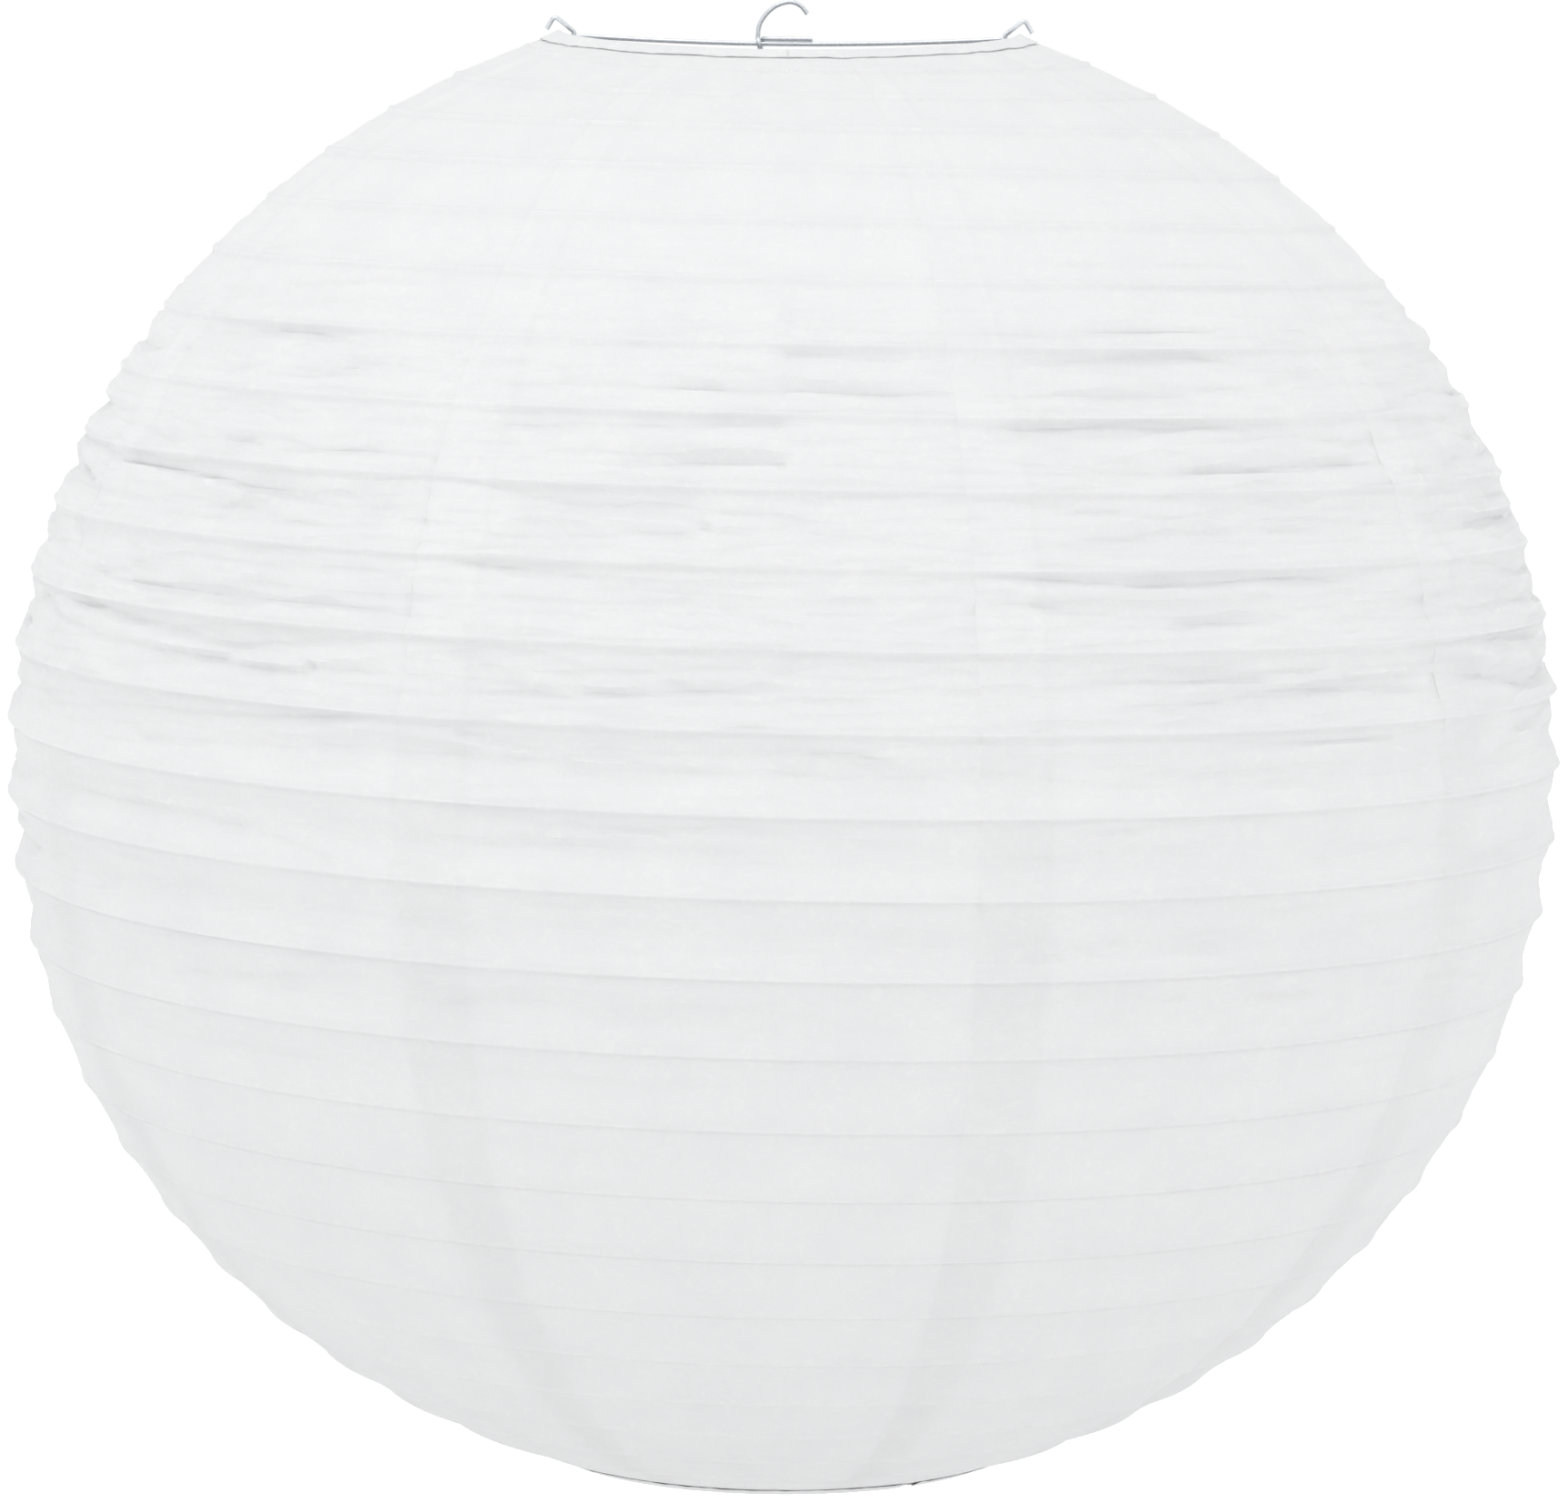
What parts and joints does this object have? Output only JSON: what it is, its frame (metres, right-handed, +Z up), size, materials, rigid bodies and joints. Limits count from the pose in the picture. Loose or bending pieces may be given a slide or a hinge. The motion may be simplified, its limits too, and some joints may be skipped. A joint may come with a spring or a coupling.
{
  "type": "accordion paper lantern",
  "caption": "Round paper lantern shade pleated over a spiral wire, on a wire stretcher frame with a central hanging hook; it folds flat along its axis.",
  "frame": {"origin": "point under the bend of the hanging hook, where it bears on what carries it", "axes": "+Z up the shade's axis, +X along the crossbar, the hook's free end pointing to +X, -Y at the front"},
  "size_m": [0.61, 0.61, 0.5802],
  "materials": {
    "paper": "matt, translucent, fine fibres",
    "hem_paper": "matt, folded strip",
    "rib_wire": "drawn steel wire",
    "frame_wire": "galvanised, satin"
  },
  "bodies": {
    "top_and_frame": {"gore_1": "paper", "gore_2": "paper", "gore_3": "paper", "gore_4": "paper", "gore_5": "paper", "gore_6": "paper", "gore_7": "paper", "gore_8": "paper", "gore_9": "paper", "top_rim_wire": "rib_wire", "top_hem": "hem_paper", "crossbar": "frame_wire", "hanging_hook": "frame_wire"},
    "bottom_rim": {"bottom_rim_wire": "rib_wire", "bottom_hem": "hem_paper"},
    "leg_left": {"left_leg": "frame_wire"},
    "leg_right": {"right_leg": "frame_wire"},
    "turn_01": {"rib_turn_01": "rib_wire"},
    "turn_02": {"rib_turn_02": "rib_wire"},
    "turn_03": {"rib_turn_03": "rib_wire"},
    "turn_04": {"rib_turn_04": "rib_wire"},
    "turn_05": {"rib_turn_05": "rib_wire"},
    "turn_06": {"rib_turn_06": "rib_wire"},
    "turn_07": {"rib_turn_07": "rib_wire"},
    "turn_08": {"rib_turn_08": "rib_wire"},
    "turn_09": {"rib_turn_09": "rib_wire"},
    "turn_10": {"rib_turn_10": "rib_wire"},
    "turn_11": {"rib_turn_11": "rib_wire"},
    "turn_12": {"rib_turn_12": "rib_wire"},
    "turn_13": {"rib_turn_13": "rib_wire"},
    "turn_14": {"rib_turn_14": "rib_wire"},
    "turn_15": {"rib_turn_15": "rib_wire"},
    "turn_16": {"rib_turn_16": "rib_wire"},
    "turn_17": {"rib_turn_17": "rib_wire"},
    "turn_18": {"rib_turn_18": "rib_wire"},
    "turn_19": {"rib_turn_19": "rib_wire"},
    "turn_20": {"rib_turn_20": "rib_wire"},
    "turn_21": {"rib_turn_21": "rib_wire"},
    "turn_22": {"rib_turn_22": "rib_wire"},
    "turn_23": {"rib_turn_23": "rib_wire"},
    "turn_24": {"rib_turn_24": "rib_wire"},
    "turn_25": {"rib_turn_25": "rib_wire"},
    "turn_26": {"rib_turn_26": "rib_wire"}
  },
  "joints": [
    {"name": "collapse", "type": "slide", "parent": "top_and_frame", "child": "bottom_rim", "axis": [0, 0, 1], "range_m": [0, 0.5149], "deforming": ["gore_1", "gore_2", "gore_3", "gore_4", "gore_5", "gore_6", "gore_7", "gore_8", "gore_9"]},
    {"name": "turn_01_rise", "type": "slide", "parent": "top_and_frame", "child": "turn_01", "axis": [0, 0, 1], "range_m": [0, 0.0045]},
    {"name": "turn_02_rise", "type": "slide", "parent": "top_and_frame", "child": "turn_02", "axis": [0, 0, 1], "range_m": [0, 0.0149]},
    {"name": "turn_03_rise", "type": "slide", "parent": "top_and_frame", "child": "turn_03", "axis": [0, 0, 1], "range_m": [0, 0.0274]},
    {"name": "turn_04_rise", "type": "slide", "parent": "top_and_frame", "child": "turn_04", "axis": [0, 0, 1], "range_m": [0, 0.0421]},
    {"name": "turn_05_rise", "type": "slide", "parent": "top_and_frame", "child": "turn_05", "axis": [0, 0, 1], "range_m": [0, 0.0588]},
    {"name": "turn_06_rise", "type": "slide", "parent": "top_and_frame", "child": "turn_06", "axis": [0, 0, 1], "range_m": [0, 0.0773]},
    {"name": "turn_07_rise", "type": "slide", "parent": "top_and_frame", "child": "turn_07", "axis": [0, 0, 1], "range_m": [0, 0.0976]},
    {"name": "turn_08_rise", "type": "slide", "parent": "top_and_frame", "child": "turn_08", "axis": [0, 0, 1], "range_m": [0, 0.1195]},
    {"name": "turn_09_rise", "type": "slide", "parent": "top_and_frame", "child": "turn_09", "axis": [0, 0, 1], "range_m": [0, 0.1427]},
    {"name": "turn_10_rise", "type": "slide", "parent": "top_and_frame", "child": "turn_10", "axis": [0, 0, 1], "range_m": [0, 0.1672]},
    {"name": "turn_11_rise", "type": "slide", "parent": "top_and_frame", "child": "turn_11", "axis": [0, 0, 1], "range_m": [0, 0.1926]},
    {"name": "turn_12_rise", "type": "slide", "parent": "top_and_frame", "child": "turn_12", "axis": [0, 0, 1], "range_m": [0, 0.2187]},
    {"name": "turn_13_rise", "type": "slide", "parent": "top_and_frame", "child": "turn_13", "axis": [0, 0, 1], "range_m": [0, 0.2453]},
    {"name": "turn_14_rise", "type": "slide", "parent": "top_and_frame", "child": "turn_14", "axis": [0, 0, 1], "range_m": [0, 0.2721]},
    {"name": "turn_15_rise", "type": "slide", "parent": "top_and_frame", "child": "turn_15", "axis": [0, 0, 1], "range_m": [0, 0.2987]},
    {"name": "turn_16_rise", "type": "slide", "parent": "top_and_frame", "child": "turn_16", "axis": [0, 0, 1], "range_m": [0, 0.3249]},
    {"name": "turn_17_rise", "type": "slide", "parent": "top_and_frame", "child": "turn_17", "axis": [0, 0, 1], "range_m": [0, 0.3504]},
    {"name": "turn_18_rise", "type": "slide", "parent": "top_and_frame", "child": "turn_18", "axis": [0, 0, 1], "range_m": [0, 0.375]},
    {"name": "turn_19_rise", "type": "slide", "parent": "top_and_frame", "child": "turn_19", "axis": [0, 0, 1], "range_m": [0, 0.3984]},
    {"name": "turn_20_rise", "type": "slide", "parent": "top_and_frame", "child": "turn_20", "axis": [0, 0, 1], "range_m": [0, 0.4202]},
    {"name": "turn_21_rise", "type": "slide", "parent": "top_and_frame", "child": "turn_21", "axis": [0, 0, 1], "range_m": [0, 0.4404]},
    {"name": "turn_22_rise", "type": "slide", "parent": "top_and_frame", "child": "turn_22", "axis": [0, 0, 1], "range_m": [0, 0.4587]},
    {"name": "turn_23_rise", "type": "slide", "parent": "top_and_frame", "child": "turn_23", "axis": [0, 0, 1], "range_m": [0, 0.4751]},
    {"name": "turn_24_rise", "type": "slide", "parent": "top_and_frame", "child": "turn_24", "axis": [0, 0, 1], "range_m": [0, 0.4893]},
    {"name": "turn_25_rise", "type": "slide", "parent": "top_and_frame", "child": "turn_25", "axis": [0, 0, 1], "range_m": [0, 0.5013]},
    {"name": "turn_26_rise", "type": "slide", "parent": "top_and_frame", "child": "turn_26", "axis": [0, 0, 1], "range_m": [0, 0.511]},
    {"name": "squeeze_left", "type": "hinge", "parent": "top_and_frame", "child": "leg_left", "pos_m": [-0.08449, 0, -0.0128], "axis": [0, -1, 0], "range_deg": [0, 4]},
    {"name": "squeeze_right", "type": "hinge", "parent": "top_and_frame", "child": "leg_right", "pos_m": [0.08449, 0, -0.0128], "axis": [0, 1, 0], "range_deg": [0, 4]}
  ],
  "couplings": [
    {"joint": "turn_01_rise", "follows": "collapse", "ratio": 0.0084},
    {"joint": "turn_02_rise", "follows": "collapse", "ratio": 0.0286},
    {"joint": "turn_03_rise", "follows": "collapse", "ratio": 0.053},
    {"joint": "turn_04_rise", "follows": "collapse", "ratio": 0.0815},
    {"joint": "turn_05_rise", "follows": "collapse", "ratio": 0.1139},
    {"joint": "turn_06_rise", "follows": "collapse", "ratio": 0.1499},
    {"joint": "turn_07_rise", "follows": "collapse", "ratio": 0.1893},
    {"joint": "turn_08_rise", "follows": "collapse", "ratio": 0.2317},
    {"joint": "turn_09_rise", "follows": "collapse", "ratio": 0.2769},
    {"joint": "turn_10_rise", "follows": "collapse", "ratio": 0.3244},
    {"joint": "turn_11_rise", "follows": "collapse", "ratio": 0.3737},
    {"joint": "turn_12_rise", "follows": "collapse", "ratio": 0.4245},
    {"joint": "turn_13_rise", "follows": "collapse", "ratio": 0.4761},
    {"joint": "turn_14_rise", "follows": "collapse", "ratio": 0.5281},
    {"joint": "turn_15_rise", "follows": "collapse", "ratio": 0.5798},
    {"joint": "turn_16_rise", "follows": "collapse", "ratio": 0.6307},
    {"joint": "turn_17_rise", "follows": "collapse", "ratio": 0.6803},
    {"joint": "turn_18_rise", "follows": "collapse", "ratio": 0.728},
    {"joint": "turn_19_rise", "follows": "collapse", "ratio": 0.7734},
    {"joint": "turn_20_rise", "follows": "collapse", "ratio": 0.8158},
    {"joint": "turn_21_rise", "follows": "collapse", "ratio": 0.855},
    {"joint": "turn_22_rise", "follows": "collapse", "ratio": 0.8906},
    {"joint": "turn_23_rise", "follows": "collapse", "ratio": 0.9224},
    {"joint": "turn_24_rise", "follows": "collapse", "ratio": 0.95},
    {"joint": "turn_25_rise", "follows": "collapse", "ratio": 0.9733},
    {"joint": "turn_26_rise", "follows": "collapse", "ratio": 0.9922}
  ]
}
